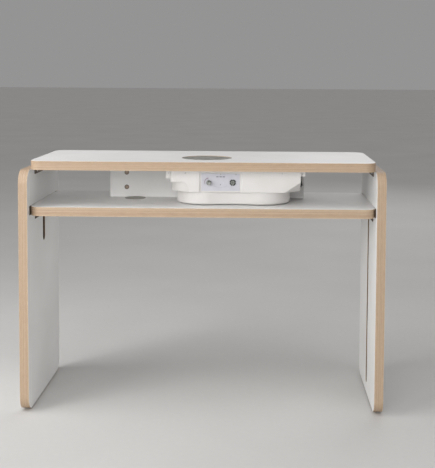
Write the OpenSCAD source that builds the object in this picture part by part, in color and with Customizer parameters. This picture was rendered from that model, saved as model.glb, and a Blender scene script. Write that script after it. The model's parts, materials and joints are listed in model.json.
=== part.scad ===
// Work table with a shelf and a dust extractor hung under its worktop.
// +X is right, +Y is away from the user and +Z is up.
// The origin is on the floor, under the centre of the table. Millimetres.

/* [Table] */
// Width over the side panels
table_w = 1100; // [1000:10:1200]
// Depth of the side panels
table_d = 450; // [440:5:500]
// Height of the worktop above the floor
table_h = 767; // [740:1:790]
// Thickness of every main board with its two skins
board_t = 27; // [25:1:30]
// Thickness of one laminate skin
skin_t = 1; // [0.6:0.2:1.4]
// Corner radius of the side panels
side_corner_r = 42; // [30:1:55]
// Gap under the side panels, which the feet fill
foot_gap = 5; // [4:1:8]

/* [Worktop and shelf] */
// Depth of the worktop and of the shelf
board_d = 420; // [405:5:430]
// Corner radius of the worktop and of the shelf
board_corner_r = 36; // [25:1:50]
// Distance of the worktop's centre behind the table's centre
worktop_shift = 7; // [0:1:9]
// Distance of the shelf's centre behind the table's centre
shelf_shift = 3; // [0:1:9]
// Clear height between shelf and worktop
bay_h = 112; // [112:1:120]
// Depth of the shelf's tongues in the side panels
tongue_l = 8; // [6:1:12]
// Half length of the slots that take the tongues
dado_half_l = 197; // [190:1:200]
// Gap that the slots leave above the shelf
dado_play = 1; // [0.4:0.2:1.6]
// Width of the cable channels in the side panels
channel_w = 30; // [20:1:40]
// Length of the left cable channel below the shelf
left_channel_l = 108; // [80:1:200]
// Height above the floor where the right cable channel ends
right_channel_end = 36; // [30:1:100]

/* [Rear panel] */
// Width of the rear panel
rear_w = 635; // [600:5:700]
// Thickness of the rear panel with its two skins
rear_t = 19; // [16:1:22]
// Distance of its front face behind the table's centre
rear_front_y = 61; // [58:1:80]
// Distance of the cam locks from the middle of the rear panel
cam_x = 263; // [240:1:280]
// Distance of the cam locks from the panel's long edges
cam_edge = 32; // [28:1:34]

/* [Intake] */
// Position of the intake across the table
intake_x = 5; // [0:1:10]
// Position of the intake in depth, negative towards the user
intake_y = -45; // [-50:1:-42]
// Radius of the intake hole
intake_r = 79; // [77:1:80]

/* [Extractor] */
// Width of the upper housing
housing_w = 400; // [394:1:402]
// Depth of the upper housing
housing_d = 195; // [190:1:198]
// Height of the upper housing
housing_h = 70; // [68:1:72]
// Position of the upper housing's centre across the table
housing_x = 98; // [97:0.5:99]
// Radius of each lobe of the lower tray
lobe_r = 93; // [92:1:95]
// Distance between the centres of the two lobes
lobe_pitch = 170; // [168:1:173]
// Half depth of the tray at its waist
waist_half = 82; // [76:1:88]
// Gap between the tray and the shelf
tray_gap = 2; // [1.5:0.5:4]
// Wall thickness of the moulded housings
wall_t = 2.5; // [2:0.5:3]

/* [Motion] */
// Tilt of the rocker switch from the middle at rest
rocker_tilt = 8; // [4:1:10]

/* [Hidden] */
$fn = 64;

// Colours
ply_colour = [0.83, 0.70, 0.54];
white_colour = [0.90, 0.90, 0.89];
bronze_colour = [0.30, 0.25, 0.21];
steel_colour = [0.62, 0.62, 0.60];
dark_colour = [0.12, 0.12, 0.12];
grommet_colour = [0.40, 0.39, 0.36];
fascia_colour = [0.78, 0.78, 0.82];
board_colour = [0.10, 0.35, 0.20];

// A small overshoot so that cutters pass through a face
over = 1;

// Levels and faces worked out from the driving dimensions
inner_x = table_w / 2 - board_t;
worktop_z = table_h - board_t;
shelf_top_z = worktop_z - bay_h;
shelf_z = shelf_top_z - board_t;
side_h = worktop_z - foot_gap;
tongue_setback = 6;
tongue_half_l = board_d / 2 - board_corner_r - tongue_setback;
housing_z = worktop_z - housing_h;
tray_z = shelf_top_z + tray_gap;
front_margin = 7;
front_y = intake_y - lobe_r - front_margin;
housing_left = housing_x - housing_w / 2;
housing_right = housing_x + housing_w / 2;

// Fasteners of the frame
screw_r = 1.75;
screw_head_r = 3.5;
screw_head_h = 2;
screw_l = 12;
cleat_leg = 20;
cleat_t = 2.5;
cleat_half_l = 125;
cleat_screw_y = 100;
cleat_screw_in = 12;
cam_r = 7.5;
cam_depth = 12.5;
cam_slot_w = 1.6;
cam_slot_l = 9;
cam_slot_depth = 2;
cam_bolt_r = 3.5;
cam_bolt_start = 4;
cam_bolt_grip = 13;

// Levelling feet
foot_y = 165;
foot_r = 11;
foot_stem_r = 4;
foot_stem_l = 28;
foot_bore_spare = 3;
insert_r = 5.5;
insert_l = 16;
insert_clearance = 0.06;

// Cable grommet
grommet_x = -231;
grommet_y = 27;
grommet_hole_r = 30;
grommet_flange_r = 33.5;
grommet_flange_h = 2;
grommet_bore_r = 27.5;
grommet_ledge_r = 25;
grommet_l = 22;
lid_r = 27.2;
lid_t = 3.4;
lid_drop = 0.2;
notch_w = 16;
notch_reach = 14;

// Intake parts
collar_wall = 3.5;
collar_drop = 3;
grille_r = intake_r - 0.5;
grille_t = 2;
grille_rings = 5;
grille_pitch = 14;
grille_hole_r = 4.5;
cassette_r = intake_r - collar_wall - 1;
cassette_wall = 2;
cassette_h = 74;
cassette_hole_r = 14;
cassette_hole_reach = 0.55 * cassette_r;
cassette_holes = 8;
mat_t = 14;

// Extractor shell
ear_w = 14;
ear_d = 30;
ear_setback = 9;
left_ear_h = 29;
right_ear_h = 20;
ear_seat_t = 12;
ear_screw_r = 2.2;
ear_screw_l = 14;
ear_head_r = 4;
ear_head_h = 3;
left_facet_w = 55;
left_facet_d = 62;
left_facet_knee = [17, 28];
left_facet_h = 32;
right_facet_w = 49;
right_facet_d = 50;
right_facet_h = 32;
right_facet_reach = 100;
recess_left = -12;
recess_right = 116;
recess_depth = 4;
recess_top_gap = 8;
tray_opening_r = 78;
motor_opening_r = 50;
waist_bite = 0.1;
tray_boss_r = 5;
tray_boss_reach = 86.5;
tray_screw_r = 1.7;
tray_head_r = 3.2;
tray_head_h = 2.5;
tray_head_drop = 4;
tray_head_play = 0.3;

// Controls
fascia_left = -6;
fascia_right = 111;
fascia_lift = 4;
fascia_h = 53;
fascia_bottom = housing_z + fascia_lift;
fascia_top = fascia_bottom + fascia_h;
fascia_t = 1.6;
control_lift = 30;
control_z = housing_z + control_lift;
knob_x = 17;
knob_r = 7.5;
knob_l = 12;
knob_gap = 0.6;
knob_cap_t = 3;
shaft_r = 3;
shaft_clearance = 0.05;
bushing_r = 3.8;
bushing_out = 2;
pot_r = 8.5;
pot_l = 8;
pot_floor = 2;
socket_x = 90;
socket_r = 6.4;
socket_out = 3.4;
socket_l = 15;
socket_bore_r = 2.75;
socket_bore_l = 12;
socket_ring_r = 9.75;
socket_ring_t = 3;
lamp_x = 52;
lamp_lift = 23;
lamp_z = housing_z + lamp_lift;
lamp_r = 1.5;
lamp_out = 0.6;
circuit_t = 1.6;
circuit_left = -2;
circuit_right = 108;
circuit_drop = 4;

// Rocker switch on the right wall
rocker_in = 42;
rocker_lift = 29;
rocker_y = front_y + rocker_in;
rocker_z = housing_z + rocker_lift;
rocker_frame_w = 16;
rocker_frame_h = 31;
rocker_frame_t = 4;
rocker_well_w = 9.8;
rocker_well_h = 27;
rocker_well_l = 14;
rocker_well_wall = 1.4;
rocker_w = 9;
rocker_h = 24;
rocker_t = 8.5;
rocker_out = 6;
rocker_pin_r = 1.5;
rocker_pin_l = 11.8;

// Exhaust grille on the right wall
exhaust_shift = 17;
exhaust_lift = 35;
exhaust_y = intake_y + exhaust_shift;
exhaust_z = housing_z + exhaust_lift;
exhaust_w = 80;
exhaust_h = 36;
exhaust_rim = 6;
exhaust_t = 2;
exhaust_slots = 8;
exhaust_slot_w = 5;

// Fan
fan_x = intake_x + lobe_pitch;
impeller_r = 68;
impeller_bottom = tray_z + 11;
impeller_h = 24;
impeller_plate_t = 2;
impeller_eye_r = 54;
impeller_hub_r = 8;
impeller_blades = 16;
blade_t = 1.6;
blade_inner_r = 34;
blade_rake = 35;
hub_h = 16;
motor_plate_r = 58;
motor_plate_t = 3;
motor_plate_bore_r = 9;
motor_r = 30;
motor_h = 40;
exhaust_port_x = 237;
exhaust_port_w = 20;
exhaust_port_d = 66;

// Mains inlet on the left wall
inlet_y = 0;
inlet_lift = 30;
inlet_z = housing_z + inlet_lift;
inlet_w = 28;
inlet_h = 20;
inlet_l = 18;
inlet_wall = 2;
inlet_flange = 3;
inlet_flange_t = 2;
inlet_pin_r = 1.6;
inlet_pin_l = 8;
inlet_pin_pitch = 9;

// Power supply: how far it is from the fan's axis and from the front, and its size
supply_out = 38;
supply_in = 20;
supply_size = [40, 32, 31.5];

// ---- Shapes that repeat ----

module rounded_rect(w, d, r) {
    square([w - 2 * r, d], center = true);
    square([w, d - 2 * r], center = true);
    for (x = [-1, 1], y = [-1, 1])
        translate([x * (w / 2 - r), y * (d / 2 - r)]) circle(r);
}

// Mirrors its children to the left side of the table
module on_side(side) {
    if (side < 0) mirror([1, 0, 0]) children();
    else children();
}

// Cylinders along the three axes, from a start point
module rod_x(x, y, z, r, l) { translate([x, y, z]) rotate([0, 90, 0]) cylinder(r = r, h = l); }
module rod_y(x, y, z, r, l) { translate([x, y, z]) rotate([-90, 0, 0]) cylinder(r = r, h = l); }
module rod_z(x, y, z, r, l) { translate([x, y, z]) cylinder(r = r, h = l); }

module tube_z(x, y, z, r, bore_r, l) {
    difference() {
        rod_z(x, y, z, r, l);
        rod_z(x, y, z - over, bore_r, l + 2 * over);
    }
}

// A box given by its two opposite corners
module block(low, high) { translate(low) cube(high - low); }

// The core and the two skins of a level board whose underside is at z
module level_core(z, t) {
    translate([0, 0, z + skin_t]) linear_extrude(t - 2 * skin_t) children();
}
module level_skins(z, t) {
    for (lift = [0, t - skin_t]) translate([0, 0, z + lift]) linear_extrude(skin_t) children();
}

// The core and the skins of a board that stands across the width, from y back
module upright_core(y, t) {
    translate([0, y + t - skin_t, 0]) rotate([90, 0, 0]) linear_extrude(t - 2 * skin_t) children();
}
module upright_skins(y, t) {
    for (back = [skin_t, t]) translate([0, y + back, 0]) rotate([90, 0, 0])
        linear_extrude(skin_t) children();
}

// ---- Side panels, drawn for the right side with the inner face at inner_x ----

module side_outline() {
    translate([0, foot_gap + side_h / 2]) rounded_rect(table_d, side_h, side_corner_r);
}

// The slot for the shelf's tongue and the cable channel below it
module side_pockets(channel_end) {
    translate([-dado_half_l, shelf_z]) square([2 * dado_half_l, board_t + dado_play]);
    translate([-channel_w / 2, channel_end + channel_w / 2])
        square([channel_w, shelf_z - channel_end - channel_w / 2 + over]);
    translate([0, channel_end + channel_w / 2]) circle(channel_w / 2);
}

module side_layer(x, t) {
    translate([x, 0, 0]) rotate([90, 0, 90]) linear_extrude(t) children();
}

module side_core(side, channel_end) {
    color(ply_colour) on_side(side) difference() {
        side_layer(inner_x + skin_t, board_t - 2 * skin_t) side_outline();
        side_layer(inner_x, tongue_l) side_pockets(channel_end);
        for (y = [-foot_y, foot_y])
            rod_z(inner_x + board_t / 2, y, foot_gap - over, insert_r,
                foot_stem_l + foot_bore_spare + over);
        cleat_side_screws(screw_l);
    }
}

module side_laminate(side, channel_end) {
    color(white_colour) on_side(side) {
        side_layer(inner_x + board_t - skin_t, skin_t) side_outline();
        difference() {
            side_layer(inner_x, skin_t) difference() {
                side_outline();
                side_pockets(channel_end);
            }
            cleat_side_screws(screw_l);
        }
    }
}

left_channel_end = shelf_z - left_channel_l;
module left_side_core() { side_core(-1, left_channel_end); }
module left_side_laminate() { side_laminate(-1, left_channel_end); }
module right_side_core() { side_core(1, right_channel_end); }
module right_side_laminate() { side_laminate(1, right_channel_end); }

// ---- Worktop and shelf ----

module worktop_outline() {
    difference() {
        translate([0, worktop_shift]) rounded_rect(2 * inner_x, board_d, board_corner_r);
        translate([intake_x, intake_y]) circle(intake_r);
    }
}

module worktop_holes() {
    for (side = [-1, 1]) on_side(side) cleat_board_screw_shanks(worktop_z);
    housing_screw_shanks();
    cam_bolt_shanks(1);
}

module worktop_core() {
    color(ply_colour) difference() {
        level_core(worktop_z, board_t) worktop_outline();
        worktop_holes();
    }
}

module worktop_laminate() {
    color(white_colour) difference() {
        level_skins(worktop_z, board_t) worktop_outline();
        worktop_holes();
    }
}

module shelf_outline() {
    difference() {
        translate([0, shelf_shift]) union() {
            rounded_rect(2 * inner_x, board_d, board_corner_r);
            square([2 * (inner_x + tongue_l), 2 * tongue_half_l], center = true);
        }
        translate([grommet_x, grommet_y]) circle(grommet_hole_r);
    }
}

module shelf_holes() {
    for (side = [-1, 1]) on_side(side) cleat_board_screw_shanks(shelf_z);
    cam_bolt_shanks(-1);
}

module shelf_core() {
    color(ply_colour) difference() {
        level_core(shelf_z, board_t) shelf_outline();
        shelf_holes();
    }
}

module shelf_laminate() {
    color(white_colour) difference() {
        level_skins(shelf_z, board_t) shelf_outline();
        shelf_holes();
    }
}

// ---- Rear panel ----

module rear_outline() {
    translate([-rear_w / 2, shelf_top_z]) square([rear_w, bay_h]);
}

// Runs its children at each cam lock: edge is 1 at the worktop and -1 at the shelf
module at_cams(edge) {
    z = edge > 0 ? worktop_z - cam_edge : shelf_top_z + cam_edge;
    for (x = [-cam_x, cam_x]) translate([x, 0, z]) children();
}

module cam_bolt_shanks(edge) {
    bolt_l = cam_edge - cam_bolt_start + cam_bolt_grip;
    at_cams(edge) {
        if (edge > 0) rod_z(0, rear_front_y + rear_t / 2, cam_bolt_start, cam_bolt_r, bolt_l);
        else rod_z(0, rear_front_y + rear_t / 2, -cam_bolt_start - bolt_l, cam_bolt_r, bolt_l);
    }
}

module cam_cutters() {
    for (edge = [-1, 1]) {
        at_cams(edge) rod_y(0, rear_front_y - over, 0, cam_r, cam_depth + over);
        cam_bolt_shanks(edge);
    }
}

module rear_panel_core() {
    color(ply_colour) difference() {
        upright_core(rear_front_y, rear_t) rear_outline();
        cam_cutters();
    }
}

module rear_panel_laminate() {
    color(white_colour) difference() {
        upright_skins(rear_front_y, rear_t) rear_outline();
        cam_cutters();
    }
}

module cam_locks() {
    color(bronze_colour) for (edge = [-1, 1]) difference() {
        at_cams(edge) difference() {
            rod_y(0, rear_front_y, 0, cam_r, cam_depth);
            for (turn = [0, 90]) translate([0, rear_front_y, 0]) rotate([0, turn, 0])
                cube([cam_slot_l, 2 * cam_slot_depth, cam_slot_w], center = true);
        }
        cam_bolt_shanks(edge);
    }
}

module cam_bolts() {
    color(steel_colour) for (edge = [-1, 1]) cam_bolt_shanks(edge);
}

// ---- Cleats and their screws, drawn for the right side ----

module cleat(side, board_z) {
    color(bronze_colour) on_side(side) difference() {
        translate([0, cleat_half_l, 0]) rotate([90, 0, 0]) linear_extrude(2 * cleat_half_l) polygon([
            [inner_x, board_z],
            [inner_x - cleat_leg, board_z],
            [inner_x - cleat_leg, board_z - cleat_t],
            [inner_x - cleat_t, board_z - cleat_t],
            [inner_x - cleat_t, board_z - cleat_leg],
            [inner_x, board_z - cleat_leg]
        ]);
        cleat_board_screw_shanks(board_z);
        cleat_side_screws(screw_l);
    }
}

module worktop_cleat_left() { cleat(-1, worktop_z); }
module worktop_cleat_right() { cleat(1, worktop_z); }
module shelf_cleat_left() { cleat(-1, shelf_z); }
module shelf_cleat_right() { cleat(1, shelf_z); }

// Screws that go up into the board above the cleat
module cleat_board_screw_shanks(board_z) {
    for (y = [-cleat_screw_y, cleat_screw_y])
        rod_z(inner_x - cleat_screw_in, y, board_z - cleat_t, screw_r, screw_l + cleat_t);
}

// Screws that go sideways into the panel, at both cleats
module cleat_side_screws(l) {
    for (board_z = [shelf_z, worktop_z], y = [-cleat_screw_y, cleat_screw_y])
        rod_x(inner_x - cleat_t, y, board_z - cleat_screw_in, screw_r, l + cleat_t);
}

module cleat_screws() {
    color(steel_colour) for (side = [-1, 1]) on_side(side) {
        cleat_side_screws(screw_l);
        for (board_z = [shelf_z, worktop_z]) {
            cleat_board_screw_shanks(board_z);
            for (y = [-cleat_screw_y, cleat_screw_y]) {
                rod_z(inner_x - cleat_screw_in, y, board_z - cleat_t - screw_head_h,
                    screw_head_r, screw_head_h);
                rod_x(inner_x - cleat_t - screw_head_h, y, board_z - cleat_screw_in,
                    screw_head_r, screw_head_h);
            }
        }
    }
}

// ---- Levelling feet ----

module foot(side, y) {
    color(dark_colour) on_side(side) {
        rod_z(inner_x + board_t / 2, y, 0, foot_r, foot_gap);
        rod_z(inner_x + board_t / 2, y, foot_gap, foot_stem_r, foot_stem_l);
    }
}

module foot_front_left() { foot(-1, -foot_y); }
module foot_front_right() { foot(1, -foot_y); }
module foot_rear_left() { foot(-1, foot_y); }
module foot_rear_right() { foot(1, foot_y); }

module foot_inserts() {
    color(steel_colour) for (side = [-1, 1], y = [-foot_y, foot_y]) on_side(side)
        tube_z(inner_x + board_t / 2, y, foot_gap, insert_r, foot_stem_r + insert_clearance, insert_l);
}

// ---- Cable grommet ----

module grommet_ring() {
    color(grommet_colour) translate([grommet_x, grommet_y, shelf_top_z]) difference() {
        union() {
            cylinder(r = grommet_flange_r, h = grommet_flange_h);
            translate([0, 0, -grommet_l]) cylinder(r = grommet_hole_r, h = grommet_l);
        }
        translate([0, 0, grommet_flange_h - lid_drop - lid_t])
            cylinder(r = grommet_bore_r, h = grommet_l);
        translate([0, 0, -grommet_l - over])
            cylinder(r = grommet_ledge_r, h = 2 * grommet_l);
    }
}

module grommet_lid() {
    color(grommet_colour) translate([grommet_x, grommet_y, shelf_top_z + grommet_flange_h - lid_drop])
        difference() {
            translate([0, 0, -lid_t]) cylinder(r = lid_r, h = lid_t);
            translate([-notch_w / 2, lid_r - notch_reach, -lid_t - over])
                cube([notch_w, 2 * notch_reach, lid_t + 2 * over]);
        }
}

// ---- Intake ----

module intake_collar() {
    color(white_colour) tube_z(intake_x, intake_y, worktop_z, intake_r, intake_r - collar_wall,
        board_t - collar_drop);
}

module intake_grille() {
    color(steel_colour) translate([intake_x, intake_y, table_h - collar_drop]) difference() {
        cylinder(r = grille_r, h = grille_t);
        translate([0, 0, -over]) cylinder(r = grille_hole_r, h = grille_t + 2 * over);
        for (ring = [1 : grille_rings], hole = [1 : 6 * ring])
            rotate([0, 0, 60 * hole / ring]) translate([grille_pitch * ring, 0, -over])
                cylinder(r = grille_hole_r, h = grille_t + 2 * over);
    }
}

cassette_z = table_h - collar_drop - cassette_h;
module filter_cassette() {
    color(grommet_colour) translate([intake_x, intake_y, cassette_z]) difference() {
        cylinder(r = cassette_r, h = cassette_h);
        translate([0, 0, cassette_wall])
            cylinder(r = cassette_r - cassette_wall, h = cassette_h);
        for (hole = [1 : cassette_holes]) rotate([0, 0, 360 / cassette_holes * hole])
            translate([cassette_hole_reach, 0, -over])
                cylinder(r = cassette_hole_r, h = cassette_wall + 2 * over);
    }
}

module filter_mat() {
    color(dark_colour) rod_z(intake_x, intake_y, cassette_z + cassette_wall,
        cassette_r - cassette_wall, mat_t);
}

// ---- Extractor shell ----

// The outline of the two lobes, drawn inset by a wall. Its concave arcs bite a little past
// the circles that they would just touch, so that the outlines cross cleanly.
half_pitch = lobe_pitch / 2;
waist_arc_r = (half_pitch ^ 2 + waist_half ^ 2 - lobe_r ^ 2) / (2 * (lobe_r - waist_half));
waist_arc_y = waist_half + waist_arc_r;

module lobes(inset) {
    r = lobe_r - inset;
    reach = lobe_r + waist_arc_r;
    tangent_x = r * half_pitch / reach;
    tangent_y = r * waist_arc_y / reach;
    translate([intake_x, intake_y]) {
        for (x = [0, lobe_pitch]) translate([x, 0]) circle(r, $fn = 128);
        translate([half_pitch, 0]) difference() {
            square([2 * (half_pitch - tangent_x), 2 * tangent_y], center = true);
            for (side = [-1, 1]) translate([0, side * waist_arc_y])
                circle(waist_arc_r + inset + waist_bite, $fn = 128);
        }
    }
}

// The cut that clears the left front corner below the facet's top edge
module left_facet(inset) {
    translate([housing_left, front_y, housing_z - over]) linear_extrude(left_facet_h + over + inset)
        polygon([
            [-over, -over],
            [left_facet_w + inset, -over],
            [left_facet_w + inset, inset],
            [left_facet_knee.x + inset, left_facet_knee.y + inset],
            [inset, left_facet_d + inset],
            [-over, left_facet_d + inset]
        ]);
}

// The slanted plane that clears the right front corner
module right_facet(inset) {
    normal = cross([right_facet_w, 0, right_facet_h], [right_facet_w, right_facet_d, 0]);
    reach = right_facet_reach;
    translate([housing_right - right_facet_w, front_y, housing_z])
        rotate([0, acos(normal.z / norm(normal)), atan2(normal.y, normal.x)])
            translate([-reach, -reach, inset - reach]) cube([2 * reach, 2 * reach, reach]);
}

module housing_box(inset) {
    translate([housing_x, front_y + housing_d / 2, housing_z + inset])
        linear_extrude(housing_h - 2 * inset)
            square([housing_w - 2 * inset, housing_d - 2 * inset], center = true);
}

module fascia_recess(inset) {
    block([recess_left - inset, front_y - over, housing_z - over],
        [recess_right + inset, front_y + recess_depth + inset, worktop_z - recess_top_gap + inset]);
}

// One ear: a block beside the housing that takes a screw, from its front face back
front_ear_y = front_y + ear_setback;
rear_ear_y = front_y + housing_d - ear_d;
module ear(side, y) {
    h = side < 0 ? left_ear_h : right_ear_h;
    x = side < 0 ? housing_left - ear_w : housing_right;
    block([x, y, worktop_z - h], [x + ear_w, y + ear_d, worktop_z]);
}

// Runs its children at each ear's screw, at the worktop's underside
module at_ears() {
    for (side = [-1, 1], y = [front_ear_y, rear_ear_y])
        translate([housing_x + side * (housing_w + ear_w) / 2, y + ear_d / 2, worktop_z]) children();
}

module housing_screw_shanks() {
    at_ears() rod_z(0, 0, -ear_seat_t, ear_screw_r, ear_screw_l + ear_seat_t);
}

module housing_screws() {
    color(steel_colour) {
        housing_screw_shanks();
        at_ears() rod_z(0, 0, -ear_seat_t - ear_head_h, ear_head_r, ear_head_h);
    }
}

module extractor_housing() {
    color(white_colour) difference() {
        union() {
            difference() {
                housing_box(0);
                left_facet(0);
                right_facet(0);
                fascia_recess(0);
            }
            for (side = [-1, 1], y = [front_ear_y, rear_ear_y]) ear(side, y);
        }
        difference() {
            housing_box(wall_t);
            left_facet(wall_t);
            right_facet(wall_t);
            fascia_recess(wall_t);
        }
        rod_z(intake_x, intake_y, worktop_z - wall_t - over, intake_r - collar_wall,
            wall_t + 2 * over);
        rod_z(intake_x, intake_y, housing_z - over, tray_opening_r, wall_t + 2 * over);
        rod_z(fan_x, intake_y, housing_z - over, motor_opening_r, wall_t + 2 * over);
        block([exhaust_port_x, intake_y - exhaust_port_d / 2, housing_z - over],
            [exhaust_port_x + exhaust_port_w, intake_y + exhaust_port_d / 2,
                housing_z + wall_t + over]);
        housing_screw_shanks();
        at_ears() rod_z(0, 0, -left_ear_h - over, ear_head_r, left_ear_h + over - ear_seat_t);
        at_tray_bosses() rod_z(0, 0, housing_z - over, tray_screw_r, wall_t + 2 * over);
        control_holes();
        rocker_well(rocker_well_wall);
        block([housing_right - wall_t - over, exhaust_y - exhaust_w / 2, exhaust_z - exhaust_h / 2],
            [housing_right + over, exhaust_y + exhaust_w / 2, exhaust_z + exhaust_h / 2]);
        inlet_block(-over, wall_t + over, 0);
    }
}

// Runs its children at the four tray screws: two at the far side of each lobe
module at_tray_bosses() {
    for (turn = [135, 225]) translate([intake_x, intake_y, 0])
        rotate([0, 0, turn]) translate([tray_boss_reach, 0, 0]) children();
    for (turn = [45, -45]) translate([fan_x, intake_y, 0])
        rotate([0, 0, turn]) translate([tray_boss_reach, 0, 0]) children();
}

module extractor_tray() {
    color(white_colour) difference() {
        union() {
            difference() {
                translate([0, 0, tray_z]) linear_extrude(housing_z - tray_z) lobes(0);
                translate([0, 0, tray_z + wall_t]) linear_extrude(housing_z - tray_z) lobes(wall_t);
            }
            at_tray_bosses()
                rod_z(0, 0, tray_z + wall_t / 2, tray_boss_r, housing_z - tray_z - wall_t / 2);
        }
        at_tray_bosses() {
            rod_z(0, 0, tray_z - over, tray_screw_r, housing_z - tray_z + 2 * over);
            rod_z(0, 0, tray_z - over, tray_head_r + tray_head_play, tray_head_drop + over);
        }
    }
}

module tray_screws() {
    color(steel_colour) at_tray_bosses() {
        rod_z(0, 0, tray_z + tray_head_drop - tray_head_h, tray_head_r, tray_head_h);
        rod_z(0, 0, tray_z + tray_head_drop, tray_screw_r,
            housing_z + wall_t - tray_z - tray_head_drop);
    }
}

// ---- Controls in the fascia ----

recess_y = front_y + recess_depth;
fascia_y = recess_y - fascia_t;
control_wall_y = recess_y + wall_t;

module control_holes() {
    rod_y(knob_x, front_y, control_z, bushing_r, recess_depth + 2 * wall_t);
    rod_y(socket_x, front_y, control_z, socket_r, recess_depth + 2 * wall_t);
    rod_y(lamp_x, front_y, lamp_z, lamp_r, recess_depth + 2 * wall_t);
}

module control_fascia() {
    color(fascia_colour) difference() {
        block([fascia_left, fascia_y, fascia_bottom], [fascia_right, recess_y, fascia_top]);
        control_holes();
    }
}

knob_back_y = fascia_y - bushing_out - knob_gap;
shaft_front_y = knob_back_y - knob_l + knob_cap_t;
module speed_knob() {
    color(steel_colour) difference() {
        rod_y(knob_x, knob_back_y - knob_l, control_z, knob_r, knob_l);
        rod_y(knob_x, shaft_front_y, control_z, shaft_r, knob_l);
    }
}

module knob_shaft() {
    color(steel_colour)
        rod_y(knob_x, shaft_front_y, control_z, shaft_r,
            control_wall_y + pot_l - pot_floor - shaft_front_y);
}

bushing_y = fascia_y - bushing_out;
module potentiometer() {
    color(dark_colour) difference() {
        union() {
            rod_y(knob_x, bushing_y, control_z, bushing_r, control_wall_y - bushing_y);
            rod_y(knob_x, control_wall_y, control_z, pot_r, pot_l);
        }
        rod_y(knob_x, bushing_y - over, control_z, shaft_r + shaft_clearance,
            control_wall_y + pot_l - pot_floor - bushing_y + over);
    }
}

module socket_body() {
    color(steel_colour) difference() {
        rod_y(socket_x, fascia_y - socket_out, control_z, socket_r, socket_l);
        rod_y(socket_x, fascia_y - socket_out - over, control_z, socket_bore_r,
            socket_bore_l + over);
    }
}

module socket_ring() {
    color(dark_colour) difference() {
        rod_y(socket_x, fascia_y - socket_ring_t, control_z, socket_ring_r, socket_ring_t);
        rod_y(socket_x, fascia_y - socket_ring_t - over, control_z, socket_r,
            socket_ring_t + 2 * over);
    }
}

circuit_y = control_wall_y + pot_l;
module indicator_lamp() {
    color("white") rod_y(lamp_x, fascia_y - lamp_out, lamp_z, lamp_r,
        circuit_y - fascia_y + lamp_out);
}

module circuit_board() {
    color(board_colour) block([circuit_left, circuit_y, fascia_bottom],
        [circuit_right, circuit_y + circuit_t, fascia_top - circuit_drop]);
}

// ---- Rocker switch ----

// The well behind the frame, drawn larger by a wall
module rocker_well(wall) {
    rocker_block(housing_right - rocker_well_l, housing_right + over,
        rocker_well_w + 2 * wall, rocker_well_h + 2 * wall);
}

// A box from one x to another, of a width and a height, centred on the rocker switch
module rocker_block(start, end, w, h) {
    block([start, rocker_y - w / 2, rocker_z - h / 2], [end, rocker_y + w / 2, rocker_z + h / 2]);
}

module rocker_pin(clearance) {
    rod_y(housing_right, rocker_y - rocker_pin_l / 2 - clearance, rocker_z,
        rocker_pin_r + clearance, rocker_pin_l + 2 * clearance);
}

module rocker_frame() {
    color(dark_colour) difference() {
        union() {
            rocker_block(housing_right, housing_right + rocker_frame_t,
                rocker_frame_w, rocker_frame_h);
            rocker_block(housing_right - rocker_well_l, housing_right,
                rocker_well_w + 2 * rocker_well_wall, rocker_well_h + 2 * rocker_well_wall);
        }
        rocker_block(housing_right - rocker_well_l + rocker_well_wall,
            housing_right + rocker_frame_t + over, rocker_well_w, rocker_well_h);
        rocker_pin(shaft_clearance);
    }
}

module rocker_switch() {
    color(dark_colour) union() {
        translate([housing_right, rocker_y, rocker_z]) rotate([0, -rocker_tilt, 0])
            translate([rocker_out - rocker_t, -rocker_w / 2, -rocker_h / 2])
                cube([rocker_t, rocker_w, rocker_h]);
        rocker_pin(0);
    }
}

// ---- Exhaust grille, mains inlet and power supply ----

module exhaust_grille() {
    slot_pitch = exhaust_w / exhaust_slots;
    plate_w = exhaust_w + 2 * exhaust_rim;
    plate_h = exhaust_h + 2 * exhaust_rim;
    color(white_colour) difference() {
        translate([housing_right, exhaust_y - plate_w / 2, exhaust_z - plate_h / 2])
            cube([exhaust_t, plate_w, plate_h]);
        for (slot = [0 : exhaust_slots - 1])
            translate([housing_right - over,
                exhaust_y - exhaust_w / 2 + slot_pitch * (slot + 0.5) - exhaust_slot_w / 2,
                exhaust_z - exhaust_h / 2])
                cube([exhaust_t + 2 * over, exhaust_slot_w, exhaust_h]);
    }
}

// A box on the inlet's centre, from start to end beside the left wall, grown by a margin
module inlet_block(start, end, margin) {
    block([housing_left + start, inlet_y - inlet_w / 2 - margin, inlet_z - inlet_h / 2 - margin],
        [housing_left + end, inlet_y + inlet_w / 2 + margin, inlet_z + inlet_h / 2 + margin]);
}

module power_inlet() {
    color(dark_colour) difference() {
        union() {
            inlet_block(-inlet_flange_t, 0, inlet_flange);
            inlet_block(-over, inlet_l, 0);
        }
        inlet_block(-inlet_flange_t - over, inlet_l - inlet_wall, -inlet_wall);
    }
}

module inlet_pins() {
    color(steel_colour) for (y = [-inlet_pin_pitch / 2, inlet_pin_pitch / 2])
        rod_x(housing_left + inlet_l - inlet_wall - inlet_pin_l, inlet_y + y, inlet_z,
            inlet_pin_r, inlet_pin_l);
}

module power_module() {
    color(board_colour)
        translate([fan_x + supply_out, front_y + supply_in, housing_z + wall_t]) cube(supply_size);
}

// ---- Fan ----

motor_z = housing_z + wall_t + motor_plate_t;

module motor_plate() {
    color(steel_colour) tube_z(fan_x, intake_y, housing_z + wall_t, motor_plate_r,
        motor_plate_bore_r, motor_plate_t);
}

module fan_motor() {
    color(dark_colour) tube_z(fan_x, intake_y, motor_z, motor_r, shaft_r + shaft_clearance, motor_h);
}

hub_z = impeller_bottom + impeller_h - hub_h;
module motor_shaft() {
    color(steel_colour) rod_z(fan_x, intake_y, hub_z, shaft_r, motor_z + motor_h - hub_z);
}

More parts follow.
